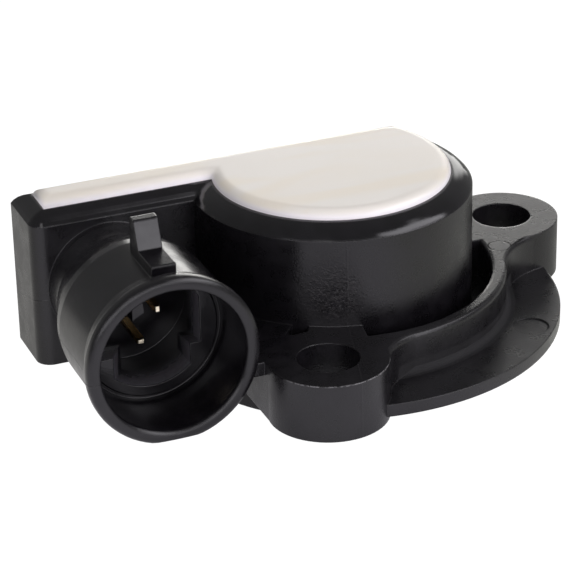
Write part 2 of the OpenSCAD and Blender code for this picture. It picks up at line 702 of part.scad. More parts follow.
module thrust_washer() {
  color([0.75, 0.75, 0.7]) difference() {
    translate([0, 0, cover_top_z + washer_t]) cylinder(h = washer_t, r = collar_r);
    translate([0, 0, cover_top_z]) cylinder(h = 2, r = hub_r + 0.3);
  }
}

module wave_washer() {
  color([0.6, 0.62, 0.65]) difference() {
    translate([0, 0, cover_top_z]) cylinder(h = washer_t, r = collar_r - 0.2);
    translate([0, 0, cover_top_z - 1]) cylinder(h = 3, r = hub_r + 0.35);
  }
}

module hub_seal() {
  color([0.15, 0.15, 0.15]) difference() {
    translate([0, 0, cover_bottom_z]) cylinder(h = 0.7, r = hub_r + 1.2);
    translate([0, 0, cover_bottom_z - 1]) cylinder(h = 3, r = hub_r + run_gap);
  }
}

module base_cover() {
  color([0.16, 0.16, 0.17]) difference() {
    d_plate(cover_r, chamber_back_y + 0.87, cover_bottom_z, cover_top_z);
    translate([0, 0, cover_bottom_z - 1]) cylinder(h = 4, r = hub_r + run_gap);
    translate([0, 0, cover_bottom_z - 1]) cylinder(h = 1.7, r = hub_r + 1.2);
  }
}

// Coil of the return spring with its two legs, as one swept wire
module return_spring() {
  turns = 3 + ((leg_a - rib_a) % 360) / 360;
  n = 78;
  a1 = rib_a + 360 * turns;
  path = concat([[(chamber_r - 0.4) * cos(rib_a), (chamber_r - 0.4) * sin(rib_a), coil_z0],
      [(coil_r + 1) * cos(rib_a), (coil_r + 1) * sin(rib_a), coil_z0]],
    [for (i = [2:n - 2]) let (a = rib_a + 360 * turns * i / n, z = coil_z0 + (coil_z1 - coil_z0) * i / n)
      [coil_r * cos(a), coil_r * sin(a), z]],
    [[(coil_r + 1) * cos(a1), (coil_r + 1) * sin(a1), coil_z1], [(post_reach + 1.3) * cos(a1), (post_reach + 1.3) * sin(a1), coil_z1]]);
  color([0.7, 0.72, 0.75]) wire(path, wire_r, 8);
}

module wire(path, r, k) {
  m = len(path);
  dir = [for (i = [0:m - 1]) let (d = path[min(i + 1, m - 1)] - path[max(i - 1, 0)]) d / norm(d)];
  pts = [for (i = [0:m - 1]) let (s0 = cross([0, 0, 1], dir[i]), s = s0 / norm(s0), u = cross(dir[i], s))
    for (j = [0:k - 1]) path[i] + r * (cos(360 * j / k) * s + sin(360 * j / k) * u)];
  sides = [for (i = [0:m - 2]) for (j = [0:k - 1])
    [i * k + j, i * k + (j + 1) % k, (i + 1) * k + (j + 1) % k, (i + 1) * k + j]];
  polyhedron(points = pts, faces = concat([[for (j = [k - 1:-1:0]) j]], sides, [[for (j = [0:k - 1]) (m - 1) * k + j]]), convexity = 6);
}

housing();
potting();
keying_ring();
terminal_signal();
terminal_supply();
terminal_ground();
terminal_carrier();
element_plate();
element_bond();
resistor_track();
collector_track();
contact_pads();
pivot_bush();
rotor();
wiper_brush();
drive_clip();
return_spring();
thrust_washer();
wave_washer();
hub_seal();
base_cover();
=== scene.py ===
"""Throttle position sensor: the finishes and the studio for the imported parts.

Run as a script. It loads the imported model, dresses every piece and sets the stage.
"""

import math

import bpy
import bmesh
from mathutils import Matrix, Vector


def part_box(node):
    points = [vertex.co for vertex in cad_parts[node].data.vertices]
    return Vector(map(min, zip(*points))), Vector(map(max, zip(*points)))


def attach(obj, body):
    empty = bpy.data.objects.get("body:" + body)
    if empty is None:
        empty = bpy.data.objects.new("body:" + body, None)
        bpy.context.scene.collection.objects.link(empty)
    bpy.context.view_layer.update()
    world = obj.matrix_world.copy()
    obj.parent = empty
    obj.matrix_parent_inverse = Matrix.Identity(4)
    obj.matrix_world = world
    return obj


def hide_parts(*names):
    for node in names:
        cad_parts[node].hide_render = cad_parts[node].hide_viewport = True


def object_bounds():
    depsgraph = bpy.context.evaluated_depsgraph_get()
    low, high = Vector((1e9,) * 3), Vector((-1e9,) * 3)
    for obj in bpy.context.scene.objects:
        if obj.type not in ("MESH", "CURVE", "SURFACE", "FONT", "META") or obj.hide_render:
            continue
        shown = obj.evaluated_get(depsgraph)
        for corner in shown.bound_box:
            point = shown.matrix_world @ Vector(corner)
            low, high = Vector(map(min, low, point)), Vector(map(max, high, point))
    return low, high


bl_info = {
    "name": "Throttle position sensor",
    "version": (1, 0, 0),
    "blender": (4, 5, 0),
    "location": "View3D > Sidebar > Sensor",
    "description": "Dresses a packed throttle position sensor and sets a plain studio round it",
    "category": "Object",
}

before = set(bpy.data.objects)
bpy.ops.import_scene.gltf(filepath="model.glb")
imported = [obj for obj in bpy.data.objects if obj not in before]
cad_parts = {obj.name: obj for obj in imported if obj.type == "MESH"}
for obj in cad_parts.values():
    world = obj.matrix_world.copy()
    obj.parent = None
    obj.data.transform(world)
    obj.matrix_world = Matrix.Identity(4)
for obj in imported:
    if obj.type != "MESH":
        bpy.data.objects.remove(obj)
cad_low, cad_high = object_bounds()

# Places in metres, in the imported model's frame: the front ear's hole, the blades' tips, the gap over the
# floor and the middle of the floor close to the sensor
MM = 0.001
EAR_CENTRE = (-0.00907, -0.02038, 0)
BLADE_TIP_Y = -0.0091
FLOOR_GAP = 0.00002
NEAR_CENTRE = (-0.008, -0.008, cad_low.z)

# Tones of wear and marks, painted shade in the ejector rings' grooves, a painted highlight on the front
# ear's edge, painted light inside the socket and the blades' paler tips, and the index of the plastic and
# the resin
RUBBED = (0.019, 0.017, 0.018)
SPECK = (0.12, 0.115, 0.11)
STIPPLED = (0.024, 0.024, 0.026)
# Painted shade in the ejector rings' grooves
GROOVE_SHADE = (0.001, 0.001, 0.001)
# Painted highlight along the front ear's upper edge
EDGE_HIGHLIGHT = (0.16, 0.155, 0.16)
# Painted light on the keying ring, where light falls in through the socket's mouth
SOCKET_LIGHT = (0.098, 0.093, 0.105)
TIP_BRASS = (0.95, 0.86, 0.66)
PLASTIC_IOR = 1.5

# Steps of the poured resin, in metres
POUR_DEPTH = 0.001
CUT_LIFT = 0.00002
TOP_GAP = 0.00001
FACET_GAP = 0.00013
CORNER_GAP = 0.00028
FLAT_RING = 0.0003
ROLL_RINGS = 9

# Camera fitted to the photograph, its places in millimetres
PHOTO_PIXELS = 573
FOCAL_PIXELS = 2668.25
SENSOR_WIDTH = 36.0
CAMERA_PLACE = (-102.152, -245.076, 133.024)
CAMERA_AHEAD = (0.32997, 0.83640, -0.43767)
CAMERA_ROLL = -1.2807522

# Tints of the studio, and how much brighter the low band is at its lower corner
FLOOR_FRONT = (0.95, 0.925, 1.0, 1)
FLOOR_BACK = (0.96, 0.945, 0.905, 1)
FLOOR_RIGHT = (0.9, 0.905, 0.84, 1)
FLOOR_SEEN = (1.08, 1.08, 1.08, 1)
COOL = (0.985, 0.965, 1.02)
LOW_CORNER_GAIN = 2.1


# Sizes and colours that a user would change


class MouldedLooks(bpy.types.PropertyGroup):
    colour: bpy.props.FloatVectorProperty(
        name="Plastic colour", description="Colour of the black moulded plastic", subtype="COLOR",
        size=3, min=0, max=1, default=(0.0042, 0.0037, 0.0047))
    grain: bpy.props.FloatProperty(
        name="Grain size", description="Size of the moulded grain", unit="LENGTH",
        default=0.00022, min=0.00005, max=0.001, precision=5)
    roughness: bpy.props.FloatProperty(
        name="Roughness", description="Roughness of the satin walls", subtype="FACTOR",
        default=0.3, min=0, max=1)
    shroud_roughness: bpy.props.FloatProperty(
        name="Shroud roughness", description="Roughness of the polished connector shroud",
        subtype="FACTOR", default=0.22, min=0, max=1)
    rim_roughness: bpy.props.FloatProperty(
        name="Rim roughness", description="Roughness of the glossy crowned rim",
        subtype="FACTOR", default=0.09, min=0, max=1)
    edge: bpy.props.FloatProperty(
        name="Edge radius", description="Radius of the moulded edges", unit="LENGTH",
        default=0.0002, min=0.00002, max=0.001, precision=5)
    crown: bpy.props.FloatProperty(
        name="Crown radius", description="Radius that softens the rim's crown and the shroud's lip",
        unit="LENGTH", default=0.00055, min=0.00002, max=0.001, precision=5)


class PottingLooks(bpy.types.PropertyGroup):
    colour: bpy.props.FloatVectorProperty(
        name="Resin colour", description="Colour of the poured resin", subtype="COLOR",
        size=3, min=0, max=1, default=(0.885, 0.845, 0.772))
    # Painted highlight on the resin's rolled edge, where it meets the rim
    edge_light_colour: bpy.props.FloatVectorProperty(
        name="Resin edge colour", description="Colour of the resin where it meets the rim",
        subtype="COLOR", size=3, min=0, max=1, default=(0.9, 0.86, 0.875))
    roll: bpy.props.FloatProperty(
        name="Edge roll", description="Width of the resin's rolled edge", unit="LENGTH",
        default=0.00125, min=0.0003, max=0.0016, precision=5)


class MetalLooks(bpy.types.PropertyGroup):
    brass: bpy.props.FloatVectorProperty(
        name="Blade colour", description="Colour of the terminal blades", subtype="COLOR",
        size=3, min=0, max=1, default=(0.78, 0.52, 0.2))
    steel: bpy.props.FloatVectorProperty(
        name="Spring colour", description="Colour of the spring and the clip", subtype="COLOR",
        size=3, min=0, max=1, default=(0.5, 0.51, 0.53))


class StudioSettings(bpy.types.PropertyGroup):
    floor: bpy.props.FloatProperty(
        name="Floor", description="Glow of the pale floor", default=0.93, min=0, max=4)
    floor_behind: bpy.props.FloatProperty(
        name="Floor behind", description="Share of the floor's glow behind the sensor",
        subtype="FACTOR", default=0.6, min=0, max=1)
    floor_far: bpy.props.FloatProperty(
        name="Floor far away", description="Share of the floor's glow far from the sensor",
        subtype="FACTOR", default=0.28, min=0, max=1)
    floor_near: bpy.props.FloatProperty(
        name="Floor close by", description="Share of the floor's glow close to the sensor",
        subtype="FACTOR", default=0.6, min=0, max=1)
    sky: bpy.props.FloatProperty(
        name="Overhead", description="Brightness of the room above the sensor",
        default=0.24, min=0, max=4)
    front: bpy.props.FloatProperty(
        name="Front light", description="Brightness of the low soft box in front",
        default=3.2, min=0, max=20)
    front_high: bpy.props.FloatProperty(
        name="High light", description="Brightness of the high box at the right",
        default=3.9, min=0, max=20)
    low_side: bpy.props.FloatProperty(
        name="Low back light", description="Brightness of the low band behind the sensor, at its right",
        default=2.6, min=0, max=20)
    key: bpy.props.FloatProperty(
        name="Key light", description="Power of the soft key light", unit="POWER",
        default=0.15, min=0, max=20)


# Shader helpers


def opaque(colour, scale=1.0):
    """The colour with full alpha, made lighter or darker by the scale."""
    return tuple(min(1, c * scale) for c in colour) + (1,)


class Tree:
    """Short words for adding and joining nodes in one node tree."""

    def __init__(self, tree):
        self.tree = tree
        self.nodes = tree.nodes

    def node(self, kind, **facts):
        made = self.nodes.new(kind)
        for key, value in facts.items():
            setattr(made, key, value)
        return made

    def join(self, source, target):
        self.tree.links.new(source, target)

    def put(self, socket, value):
        if isinstance(value, bpy.types.NodeSocket):
            self.join(value, socket)
        else:
            socket.default_value = value

    def fill(self, kind, output, values, **facts):
        """The named output of a new node, with its inputs filled by name."""
        made = self.node(kind, **facts)
        for name, value in values.items():
            self.put(made.inputs[name], value)
        return made.outputs[output]

    def sum(self, operation, a, b=0.0):
        made = self.node("ShaderNodeMath", operation=operation)
        self.put(made.inputs[0], a)
        self.put(made.inputs[1], b)
        return made.outputs[0]

    def times(self, value, *others):
        for other in others:
            value = self.sum("MULTIPLY", value, other)
        return value

    def plus(self, value, *others):
        for other in others:
            value = self.sum("ADD", value, other)
        return value

    def minus(self, a, b):
        return self.sum("SUBTRACT", a, b)

    def ramp(self, value, low, high, out_low=0.0, out_high=1.0):
        """Smooth step from one output to the other between low and high."""
        return self.fill(
            "ShaderNodeMapRange", "Result",
            {"Value": value, "From Min": low, "From Max": high, "To Min": out_low, "To Max": out_high},
            interpolation_type="SMOOTHSTEP")

    def blend(self, factor, a, b):
        """Mix of two colours, whose sockets come after those for numbers and vectors."""
        made = self.node("ShaderNodeMix", data_type="RGBA")
        for place, value in zip((0, 6, 7), (factor, a, b)):
            self.put(made.inputs[place], value)
        return made.outputs[2]

    def vector(self, operation, a, b=None):
        """Outputs of a sum with vectors, named Vector and Value."""
        made = self.node("ShaderNodeVectorMath", operation=operation)
        self.put(made.inputs[0], a)
        if b is not None:
            self.put(made.inputs[1], b)
        return made.outputs

    def flat(self, vector):
        """The same place with its height left out."""
        return self.vector("MULTIPLY", vector, (1, 1, 0))["Vector"]

    def split(self, vector):
        """The vector's x, y and z."""
        made = self.node("ShaderNodeSeparateXYZ")
        self.join(vector, made.inputs[0])
        return made.outputs

    def noise(self, vector, scale, detail=3.0, roughness=0.55, distortion=0.0):
        return self.fill(
            "ShaderNodeTexNoise", "Fac",
            {"Vector": vector, "Scale": scale, "Detail": detail, "Roughness": roughness,
             "Distortion": distortion})

    def group(self, name, **values):
        made = self.node("ShaderNodeGroup")
        made.node_tree = bpy.data.node_groups[name]
        for key, value in values.items():
            self.put(made.inputs[key], value)
        return made.outputs


def new_group(name, vectors, numbers, outputs):
    """Empty shader group with vector inputs, number inputs by their defaults, and number outputs."""
    made = bpy.data.node_groups.new(name, "ShaderNodeTree")
    for socket in vectors:
        made.interface.new_socket(socket, in_out="INPUT", socket_type="NodeSocketVector")
    for socket, default in numbers.items():
        item = made.interface.new_socket(socket, in_out="INPUT", socket_type="NodeSocketFloat")
        item.default_value = default
    for socket in outputs:
        made.interface.new_socket(socket, in_out="OUTPUT", socket_type="NodeSocketFloat")
    tree = Tree(made)
    return tree, tree.node("NodeGroupInput").outputs, tree.node("NodeGroupOutput").inputs


def moulded_grain_group():
    """Fine pits and soft waves of a textured mould, as a height and a tint."""
    tree, given, out = new_group("moulded_grain", ["Vector"], {"Size": 0.0002}, ["Height", "Tint"])
    rate = tree.sum("DIVIDE", 1.0, given["Size"])
    fine = tree.noise(given["Vector"], rate, 2.0, 0.6)
    broad = tree.noise(given["Vector"], tree.times(rate, 0.11), 4.0, 0.55)
    tree.join(tree.plus(tree.times(fine, 0.75), tree.times(broad, 0.25)), out["Height"])
    tree.join(tree.ramp(broad, 0.35, 0.68), out["Tint"])


def rubbed_patch_group():
    """Mottled patch of rubbed plastic round a point, as a mask."""
    tree, given, out = new_group(
        "rubbed_patch", ["Vector", "Centre"], {"Radius": 0.004, "Blotch": 1400.0}, ["Mask"])
    away = tree.vector("DISTANCE", given["Vector"], given["Centre"])["Value"]
    near = tree.ramp(tree.sum("DIVIDE", away, given["Radius"]), 1.0, 0.25)
    blotch = tree.ramp(tree.noise(given["Vector"], given["Blotch"], 3.0, 0.6), 0.4, 0.68)
    tree.join(tree.times(near, blotch), out["Mask"])


def dust_group():
    """Sparse pale specks, as a mask."""
    tree, given, out = new_group("dust", ["Vector"], {"Rate": 900.0, "Share": 0.06}, ["Mask"])
    away = tree.fill("ShaderNodeTexVoronoi", "Distance",
                     {"Vector": given["Vector"], "Scale": given["Rate"]}, feature="F1")
    near = tree.ramp(away, tree.times(given["Share"], 2.0), given["Share"])
    rare = tree.ramp(tree.noise(given["Vector"], tree.times(given["Rate"], 0.37), 2.0), 0.6, 0.68)
    tree.join(tree.times(near, rare), out["Mask"])


def parting_line_group():
    """Thin line where a plane cuts the surface, as a mask."""
    tree, given, out = new_group(
        "parting_line", ["Vector", "Normal"], {"Offset": 0.0, "Width": 0.0001}, ["Mask"])
    along = tree.vector("DOT_PRODUCT", given["Vector"], given["Normal"])["Value"]
    away = tree.sum("ABSOLUTE", tree.minus(along, given["Offset"]))
    tree.join(tree.ramp(tree.sum("DIVIDE", away, given["Width"]), 1.0, 0.3), out["Mask"])


def ejector_mark_group():
    """Round mark of an ejector pin on an upward face, as its ring and the spot inside it."""
    tree, given, out = new_group(
        "ejector_mark", ["Vector", "Centre"], {"Radius": 0.0015, "Width": 0.00012},
        ["Ring", "Inside"])
    away = tree.vector("SUBTRACT", given["Vector"], given["Centre"])["Vector"]
    on_top = tree.ramp(tree.sum("ABSOLUTE", tree.split(away)[2]), 0.00008, 0.00003)
    gap = tree.minus(tree.vector("LENGTH", tree.flat(away))["Value"], given["Radius"])
    ring = tree.ramp(tree.sum("DIVIDE", tree.sum("ABSOLUTE", gap), given["Width"]), 1.0, 0.4)
    inside = tree.ramp(tree.sum("DIVIDE", gap, given["Width"]), 0.0, -1.0)
    tree.join(tree.times(ring, on_top), out["Ring"])
    tree.join(tree.times(inside, on_top), out["Inside"])


def light_box_group():
    """Soft-edged box of light on the sky, by its turn from the front and its height, as a mask."""
    tree, given, out = new_group(
        "light_box", ["Way"],
        {"From": -60.0, "To": 60.0, "Low": 10.0, "High": 50.0, "Blur": 5.0}, ["Mask"])
    x, y, z = tree.split(given["Way"])
    turn = tree.sum("DEGREES", tree.sum("ARCTAN2", x, tree.times(y, -1.0)))
    height = tree.sum("DEGREES", tree.sum("ARCSINE", z))
    blur = given["Blur"]
    parts = []
    for value, low, high in ((turn, given["From"], given["To"]), (height, given["Low"], given["High"])):
        rise = tree.ramp(value, tree.minus(low, blur), tree.plus(low, blur))
        fall = tree.ramp(value, tree.plus(high, blur), tree.minus(high, blur))
        parts.append(tree.times(rise, fall))
    tree.join(tree.times(*parts), out["Mask"])


def new_material(name):
    """Empty material with its tree, its Principled shader and the object's coordinates."""
    made = bpy.data.materials.new(name)
    made.use_nodes = True
    tree = Tree(made.node_tree)
    tree.nodes.clear()
    shader = tree.node("ShaderNodeBsdfPrincipled")
    tree.join(shader.outputs[0], tree.node("ShaderNodeOutputMaterial").inputs["Surface"])
    place = tree.node("ShaderNodeTexCoord").outputs["Object"]
    return made, tree, shader, place


def add_bump(tree, shader, height, distance, strength, normal=None):
    """Adds a height in shading, over another normal where one is given."""
    values = {"Strength": strength, "Distance": distance, "Height": height}
    if normal:
        values["Normal"] = normal
    tree.join(tree.fill("ShaderNodeBump", "Normal", values), shader.inputs["Normal"])


def round_edges(tree, shader, radius, height, distance, strength):
    """Softens the edges in shading, and adds a height over them."""
    rounded = tree.fill("ShaderNodeBevel", "Normal", {"Radius": radius}, samples=6)
    add_bump(tree, shader, height, distance, strength, rounded)


def mould_lines(tree, place):
    """Parting lines down the cup's front, round the block's end and along the shroud, as a height."""
    x, y, z = tree.split(place)
    cup = tree.group("parting_line", Vector=place, Normal=(0.957, -0.289, 0), Offset=0.0, Width=0.00014)
    cup = tree.times(cup["Mask"], tree.ramp(y, -13.5 * MM, -14 * MM), tree.ramp(z, 16.3 * MM, 16.1 * MM))
    block = tree.group(
        "parting_line", Vector=place, Normal=(0, 0.2517, 0.9678), Offset=0.007887, Width=0.00012)
    block = tree.times(
        block["Mask"], tree.ramp(x, -30.8 * MM, -31.6 * MM), tree.ramp(y, 1.2 * MM, 1.5 * MM))
    shroud = tree.group("parting_line", Vector=place, Normal=(0, 0, 1), Offset=0.0079, Width=0.00014)
    shroud = tree.times(
        shroud["Mask"], tree.ramp(x, -32.8 * MM, -33.3 * MM), tree.ramp(y, -5.5 * MM, -6.5 * MM))
    return tree.plus(cup, block, shroud)


def dull_corner(tree, place):
    """Corner where the curved wall meets the disc, as a mask."""
    away = tree.vector("LENGTH", tree.flat(place))["Value"]
    return tree.times(
        tree.ramp(away, 19.1 * MM, 19.25 * MM), tree.ramp(away, 20.4 * MM, 20.0 * MM),
        tree.ramp(tree.split(place)[2], 3.6 * MM, 3.1 * MM))


def ear_edge_highlight(tree, place):
    """Ragged painted highlight along the front ear's upper edge, as a mask."""
    y, z = tree.split(place)[1:]
    away = tree.vector("DISTANCE", tree.flat(place), EAR_CENTRE)["Value"]
    ragged = tree.ramp(tree.noise(place, 2600.0, 3.0), 0.38, 0.56)
    return tree.times(
        tree.ramp(away, 6.28 * MM, 6.34 * MM), tree.ramp(z, 6.26 * MM, 6.34 * MM),
        tree.ramp(y, -22.5 * MM, -24 * MM), ragged)


def housing_material(looks):
    """Black plastic: satin grained walls, a polished shroud, a glossy crowned rim and a rubbed front, with
    painted shade in the ejector rings and a painted highlight on the front ear's edge.
    """
    made, tree, shader, place = new_material("housing_plastic")
    x, y, z = tree.split(place)
    # The rim starts at the wall's top; the latch reaches as high, in front of the block
    aside = tree.sum("MAXIMUM", tree.ramp(x, -19 * MM, -18 * MM), tree.ramp(y, 0.5 * MM, 1.2 * MM))
    rim = tree.times(tree.ramp(z, 16.24 * MM, 16.3 * MM), aside)
    shroud = tree.times(tree.ramp(x, -16 * MM, -17 * MM), tree.ramp(y, 1.2 * MM, 0.6 * MM))
    grain = tree.group("moulded_grain", Vector=place, Size=looks.grain)
    patch = tree.group("rubbed_patch", Vector=place, Centre=Vector((-5.9, -14.2, 10.6)) * MM,
                       Radius=0.0056, Blotch=3200.0)["Mask"]
    specks = tree.group("dust", Vector=place, Rate=800.0, Share=0.035)["Mask"]
    pad = tree.group("ejector_mark", Vector=place, Centre=Vector((18.85, -3.35, 6.4)) * MM,
                     Radius=0.00127)
    spot = tree.group("ejector_mark", Vector=place, Centre=Vector((17.12, -14.67, 2.0)) * MM,
                      Radius=0.0019)
    rings = tree.plus(pad["Ring"], spot["Ring"])

    colour = tree.blend(grain["Tint"], opaque(looks.colour), opaque(looks.colour, 1.6))
    stipple = tree.ramp(tree.noise(place, 5200.0, 1.0), 0.48, 0.6, 0.15, 0.9)
    for share, tone in (
            (tree.times(patch, 0.75), RUBBED),
            (tree.times(specks, 0.1), SPECK),
            (tree.times(pad["Inside"], stipple), STIPPLED),
            # Painted shade in the ejector rings' grooves
            (tree.times(rings, 0.9), GROOVE_SHADE),
            # Painted highlight along the front ear's upper edge
            (tree.times(ear_edge_highlight(tree, place), 0.8), EDGE_HIGHLIGHT)):
        colour = tree.blend(share, colour, opaque(tone))
    tree.join(colour, shader.inputs["Base Color"])

    satin = tree.plus(
        tree.ramp(shroud, 0.0, 1.0, looks.roughness, looks.shroud_roughness),
        tree.ramp(grain["Tint"], 0.0, 1.0, -0.03, 0.04),
        tree.times(patch, 0.08),
        tree.times(dull_corner(tree, place), 0.5),
        tree.times(rings, 0.4))
    gloss = tree.ramp(
        tree.noise(place, 260.0, 3.0), 0.3, 0.7, looks.rim_roughness * 0.8, looks.rim_roughness * 1.5)
    rough = tree.plus(tree.times(satin, tree.minus(1.0, rim)), tree.times(gloss, rim))
    tree.join(rough, shader.inputs["Roughness"])
    shader.inputs["IOR"].default_value = PLASTIC_IOR

    height = tree.times(
        grain["Height"],
        tree.ramp(rim, 0.0, 1.0, 1.0, 0.04),
        tree.ramp(shroud, 0.0, 1.0, 1.0, 0.35),
        tree.ramp(patch, 0.0, 1.0, 1.0, 1.9))
    height = tree.plus(height, tree.times(mould_lines(tree, place), 0.7))
    height = tree.minus(height, rings)
    # The rim's crown and the shroud's lip are rounder than the other edges
    crown = tree.times(rim, tree.ramp(x, -15.5 * MM, -14.5 * MM))
    lip = tree.times(shroud, tree.ramp(y, -18.2 * MM, -18.5 * MM))
    radius = tree.ramp(tree.sum("MAXIMUM", crown, lip), 0.0, 1.0, looks.edge, looks.crown)
    round_edges(tree, shader, radius, height, 0.00003, 1.0)
    return made


def plastic_material(name, colour, rough, grain_size, inside=None):
    """Plain moulded plastic with its own grain; inside is a tone of painted light and the y of its start
    and end, lightest at the start.
    """
    made, tree, shader, place = new_material(name)
    grain = tree.group("moulded_grain", Vector=place, Size=grain_size)
    tint = tree.blend(grain["Tint"], opaque(colour), opaque(colour, 1.3))
    matt = tree.ramp(grain["Tint"], 0.0, 1.0, rough - 0.06, rough + 0.06)
    if inside:
        mouth_light, front, back = inside
        y = tree.split(place)[1]
        # Painted light falling in through the mouth: lightest at the front y, gone by the back y
        lit_from_mouth = tree.times(tree.ramp(y, front, front + 0.0001), tree.ramp(y, back, front))
        fleck = tree.ramp(tree.noise(place, 2400.0, 3.0), 0.3, 0.7, 0.7, 1.0)
        tint = tree.blend(tree.times(lit_from_mouth, fleck), tint, opaque(mouth_light))
        matt = tree.ramp(lit_from_mouth, 0.0, 1.0, matt, 0.4)
    tree.join(tint, shader.inputs["Base Color"])
    tree.join(matt, shader.inputs["Roughness"])
    round_edges(tree, shader, 0.00015, grain["Height"], 0.00002, 0.8)
    return made


def metal_material(name, colour, rough, streak=(1.0, 1.0, 1.0), rate=2500.0, tip=None):
    """Bare metal with streaks and a slight tarnish, and paler towards a blade's front tip."""
    made, tree, shader, place = new_material(name)
    drawn = tree.fill("ShaderNodeMapping", "Vector", {"Scale": streak, "Vector": place})
    line = tree.noise(drawn, rate, 4.0, 0.6)
    stain = tree.ramp(tree.noise(place, rate * 0.12, 3.0), 0.4, 0.7)
    tint = tree.blend(stain, opaque(colour), opaque(colour, 0.72))
    if tip:
        # Paler towards the blade's front tip
        near_tip = tree.ramp(tree.split(place)[1], BLADE_TIP_Y + 0.0003, BLADE_TIP_Y + 0.0001)
        tint = tree.blend(near_tip, tint, opaque(tip))
    tree.join(tint, shader.inputs["Base Color"])
    shader.inputs["Metallic"].default_value = 1.0
    tree.join(tree.ramp(line, 0.3, 0.7, rough * 0.7, rough * 1.4), shader.inputs["Roughness"])
    round_edges(tree, shader, 0.00006, line, 0.000006, 0.6)
    return made


def potting_material(looks):
    """Poured resin: ivory, with faint warm streaks and a painted pinkish highlight on its rolled edge."""
    made, tree, shader, place = new_material("potting_resin")
    # Painted highlight: the rolled edge, facing the front light, is paler and pinker than the top
    edge = tree.ramp(tree.split(place)[2], 18.45 * MM, 17.85 * MM)
    flow = tree.fill("ShaderNodeMapping", "Vector", {
        "Rotation": (0, 0, math.radians(-16)), "Scale": (0.45, 1.6, 1.0), "Vector": place})
    streak = tree.ramp(tree.noise(flow, 95.0, 2.0, 0.45, 0.9), 0.42, 0.66)
    cloud = tree.noise(place, 45.0, 2.0, 0.5)
    warm = [c * k for c, k in zip(looks.colour, (1.0, 0.972, 0.915))]
    base = tree.blend(streak, opaque(looks.colour), opaque(warm))
    tree.join(tree.blend(edge, base, opaque(looks.edge_light_colour)), shader.inputs["Base Color"])
    tree.join(tree.ramp(cloud, 0.3, 0.7, 0.28, 0.38), shader.inputs["Roughness"])
    shader.inputs["IOR"].default_value = PLASTIC_IOR
    add_bump(tree, shader, cloud, 0.0005, 0.5)
    return made


# Piece helpers


def finish(node, material):
    """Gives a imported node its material."""
    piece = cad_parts[node]
    piece.data.materials.clear()
    piece.data.materials.append(material)


def add_object(name, data):
    """New object in the scene, at the origin."""
    made = bpy.data.objects.new(name, data)
    bpy.context.scene.collection.objects.link(made)
    return made


def add_piece(name, shape):
    """New object with the shape as its mesh."""
    mesh = bpy.data.meshes.new(name)
    shape.to_mesh(mesh)
    shape.free()
    return add_object(name, mesh)


def top_face(shape):
    """The face with the most corners, which closes the top."""
    face = max(shape.faces, key=lambda one: len(one.verts))
    face.normal_update()
    return face


def pour_potting(looks):
    """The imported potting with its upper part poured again: a resin surface with a soft rolled edge."""
    top_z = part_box("potting")[1][2]
    rim_z = top_z - POUR_DEPTH
    shape = bmesh.new()
    shape.from_mesh(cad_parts["potting"].data)
    bmesh.ops.remove_doubles(shape, verts=shape.verts, dist=1e-6)
    geometry = shape.verts[:] + shape.edges[:] + shape.faces[:]
    bmesh.ops.bisect_plane(
        shape, geom=geometry, dist=1e-7, plane_co=(0, 0, rim_z + CUT_LIFT), plane_no=(0, 0, 1),
        clear_outer=True)
    # The cut leaves pairs of points close together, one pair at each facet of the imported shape. They are
    # taken in the mesh's own order, so that each run merges them alike
    points = [v for v in shape.verts if v.is_boundary]
    bmesh.ops.remove_doubles(shape, verts=points, dist=FACET_GAP)
    outline = [e for e in shape.edges if e.is_boundary]
    bmesh.ops.edgeloop_fill(shape, edges=outline)
    face = top_face(shape)
    if face.normal.z < 0:
        face.normal_flip()
    rise = top_z - rim_z - CUT_LIFT - TOP_GAP
    done = Vector((0, 0))
    for i in range(1, ROLL_RINGS + 1):
        turn = math.pi / 2 * i / ROLL_RINGS
        here = Vector((looks.roll * (1 - math.cos(turn)), rise * math.sin(turn)))
        step = here - done
        bmesh.ops.inset_region(
            shape, faces=[face], thickness=step.x, depth=step.y, use_even_offset=True)
        # Corners draw their points together as the rings shrink
        bmesh.ops.remove_doubles(shape, verts=top_face(shape).verts[:], dist=CORNER_GAP)
        face = top_face(shape)
        done = here
    bmesh.ops.inset_region(shape, faces=[face], thickness=FLAT_RING, depth=0, use_even_offset=True)
    face = top_face(shape)
    for one in shape.faces:
        one.smooth = one is not face and one.normal.z > 0.02
    piece = add_piece("poured_potting", shape)
    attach(piece, "sensor_body")
    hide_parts("potting")
    return piece


# Operators, one for each piece or group of like pieces


class SENSOR_OT_housing(bpy.types.Operator):
    """Give the housing its moulded plastic"""
    bl_idname = "sensor.housing"
    bl_label = "Housing"

    def execute(self, context):
        finish("housing", housing_material(context.scene.sensor_moulded))
        return {"FINISHED"}


class SENSOR_OT_potting(bpy.types.Operator):
    """Pour the resin over the body and the block"""
    bl_idname = "sensor.potting"
    bl_label = "Potting"

    def execute(self, context):
        looks = context.scene.sensor_potting
        piece = pour_potting(looks)
        piece.data.materials.append(potting_material(looks))
        return {"FINISHED"}


